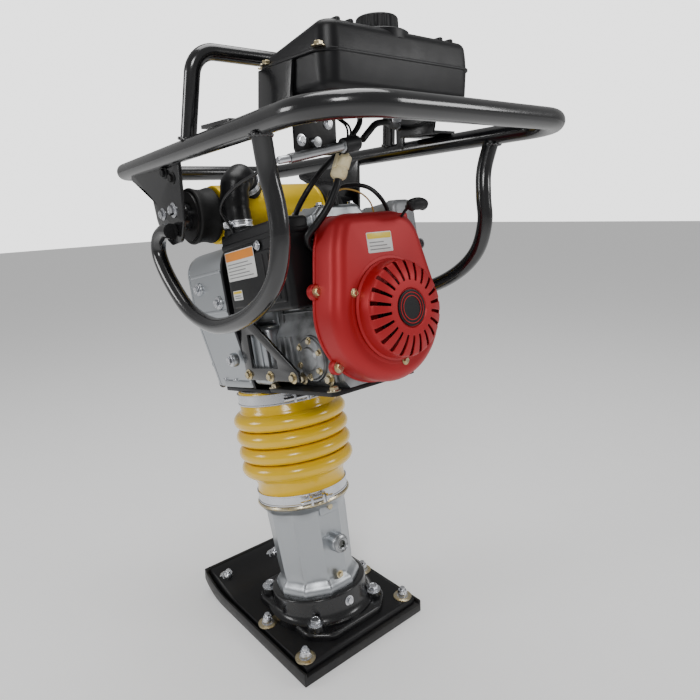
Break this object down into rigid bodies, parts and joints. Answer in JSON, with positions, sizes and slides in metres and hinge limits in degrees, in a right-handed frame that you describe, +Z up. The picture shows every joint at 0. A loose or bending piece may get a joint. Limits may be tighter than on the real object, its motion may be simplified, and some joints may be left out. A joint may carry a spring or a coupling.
{
  "type": "jumping jack rammer",
  "caption": "Upright rammer with a flat shoe, a sprung leg in a bellows, a gear case and engine, and a rubber-mounted handle loop that carries the fuel tank.",
  "frame": {"origin": "centre of the flat sole, on the ground", "axes": "+Z up, +X towards the operator at the rear, +Y to the machine's right"},
  "size_m": [0.755, 0.4764, 1.0663],
  "materials": {
    "black_coat": "gloss black powder coat",
    "black_iron": "black painted casting",
    "black_alloy": "black painted alloy casting",
    "black_plastic": "satin moulded black",
    "rubber": "matt black rubber",
    "silver_paint": "silver-grey painted casting",
    "bare_steel": "machined steel",
    "zinc": "bright zinc",
    "yellow_rubber": "glossy yellow moulding",
    "yellow_coat": "bright yellow powder coat",
    "red_coat": "gloss red paint",
    "alloy": "raw grey alloy",
    "ivory": "ivory nylon",
    "glass": "clear sight glass"
  },
  "bodies": {
    "foot": {"sole_plate": "black_coat", "shoe_block": "black_plastic", "foot_casting": "black_iron", "leg_casting": "silver_paint", "sight_glass": "glass", "spring_cylinder": "bare_steel", "lower_spring": "zinc", "upper_spring": "zinc", "lower_clamp": "zinc", "bellows": "yellow_rubber"},
    "machine": {"guide_cylinder": "alloy", "upper_clamp": "zinc", "bellows_flange": "black_alloy", "gear_case": "silver_paint", "gear_case_cover": "silver_paint", "clutch_housing": "black_alloy", "engine_base": "black_coat", "engine_block": "alloy", "head_cover": "silver_paint", "engine_bracket": "black_coat", "fan_shroud": "red_coat", "recoil_cover": "red_coat", "muffler": "silver_paint", "carburettor": "alloy", "plug_lead": "rubber", "air_cleaner": "black_plastic", "cross_tube": "yellow_coat", "intake_elbow": "rubber", "breather_cap": "black_plastic", "damper_left": "rubber", "damper_right": "rubber"},
    "ram": {"ram": "bare_steel"},
    "crank": {"crank_gear": "bare_steel"},
    "conrod": {"connecting_rod": "bare_steel"},
    "pinion": {"clutch_pinion": "bare_steel", "clutch_drum": "bare_steel"},
    "engine_shaft": {"engine_crankshaft": "bare_steel", "flywheel": "alloy"},
    "starter": {"starter_pulley": "black_plastic"},
    "grip": {"recoil_grip": "black_plastic"},
    "handle": {"handle_rear": "black_coat", "handle_front": "black_coat", "handle_left": "black_coat", "handle_right": "black_coat", "bracket_left": "black_coat", "bracket_right": "black_coat", "guard_left": "black_coat", "guard_right": "black_coat", "lifting_bar": "black_coat", "fuel_tank": "black_plastic", "tank_bracket_left": "black_coat", "tank_bracket_right": "black_coat", "control_plate": "black_coat", "control_hose": "rubber", "throttle_cable": "rubber", "connector": "ivory", "engine_harness": "rubber", "fuel_hose": "rubber"},
    "lever": {"throttle_lever": "bare_steel"},
    "cap": {"tank_cap": "black_plastic"}
  },
  "joints": [
    {"name": "leg_stroke", "type": "slide", "parent": "foot", "child": "machine", "axis": [-0.1754, 0, 0.9845], "range_m": [-0.035, 0.035], "stiffness_N_per_m": 30000, "springref_m": 0.0202, "deforming": ["bellows", "lower_spring"]},
    {"name": "ram_slide", "type": "slide", "parent": "machine", "child": "ram", "axis": [-0.1754, 0, 0.9845], "range_m": [0, 0.044], "deforming": ["upper_spring"]},
    {"name": "crank_turn", "type": "hinge", "parent": "machine", "child": "crank", "pos_m": [-0.08946, 0, 0.67697], "axis": [0.9845, 0, 0.1754], "continuous": true},
    {"name": "conrod_pin", "type": "hinge", "parent": "crank", "child": "conrod", "pos_m": [-0.0856, 0, 0.65531], "axis": [0.9845, 0, 0.1754], "continuous": true},
    {"name": "pinion_turn", "type": "hinge", "parent": "machine", "child": "pinion", "pos_m": [-0.07631, 0, 0.60314], "axis": [0.9845, 0, 0.1754], "continuous": true},
    {"name": "engine_turn", "type": "hinge", "parent": "machine", "child": "engine_shaft", "pos_m": [-0.07631, 0, 0.60314], "axis": [0.9845, 0, 0.1754], "continuous": true},
    {"name": "starter_turn", "type": "hinge", "parent": "machine", "child": "starter", "pos_m": [-0.07561, 0, 0.5992], "axis": [0.9845, 0, 0.1754], "range_deg": [0, 850]},
    {"name": "recoil_pull", "type": "slide", "parent": "machine", "child": "grip", "axis": [0.9397, 0.342, 0], "range_m": [0, 0.6]},
    {"name": "handle_rock", "type": "hinge", "parent": "machine", "child": "handle", "pos_m": [-0.06575, 0, 0.80613], "axis": [0, 1, 0], "range_deg": [-3, 3], "stiffness_Nm_per_rad": 1500, "springref_deg": -1.05, "deforming": ["throttle_cable", "engine_harness", "fuel_hose"]},
    {"name": "throttle_turn", "type": "hinge", "parent": "handle", "child": "lever", "pos_m": [0.208, -0.092, 0.9], "axis": [1, 0, 0], "range_deg": [0, 17]},
    {"name": "cap_turn", "type": "hinge", "parent": "handle", "child": "cap", "pos_m": [0.232, 0.008, 1.05], "axis": [0, 0, 1], "range_deg": [0, 90]}
  ],
  "couplings": [
    {"joint": "conrod_pin", "follows": "crank_turn", "ratio": -1},
    {"joint": "pinion_turn", "follows": "crank_turn", "ratio": -4},
    {"joint": "recoil_pull", "follows": "starter_turn", "m_per_rad": 0.04}
  ]
}
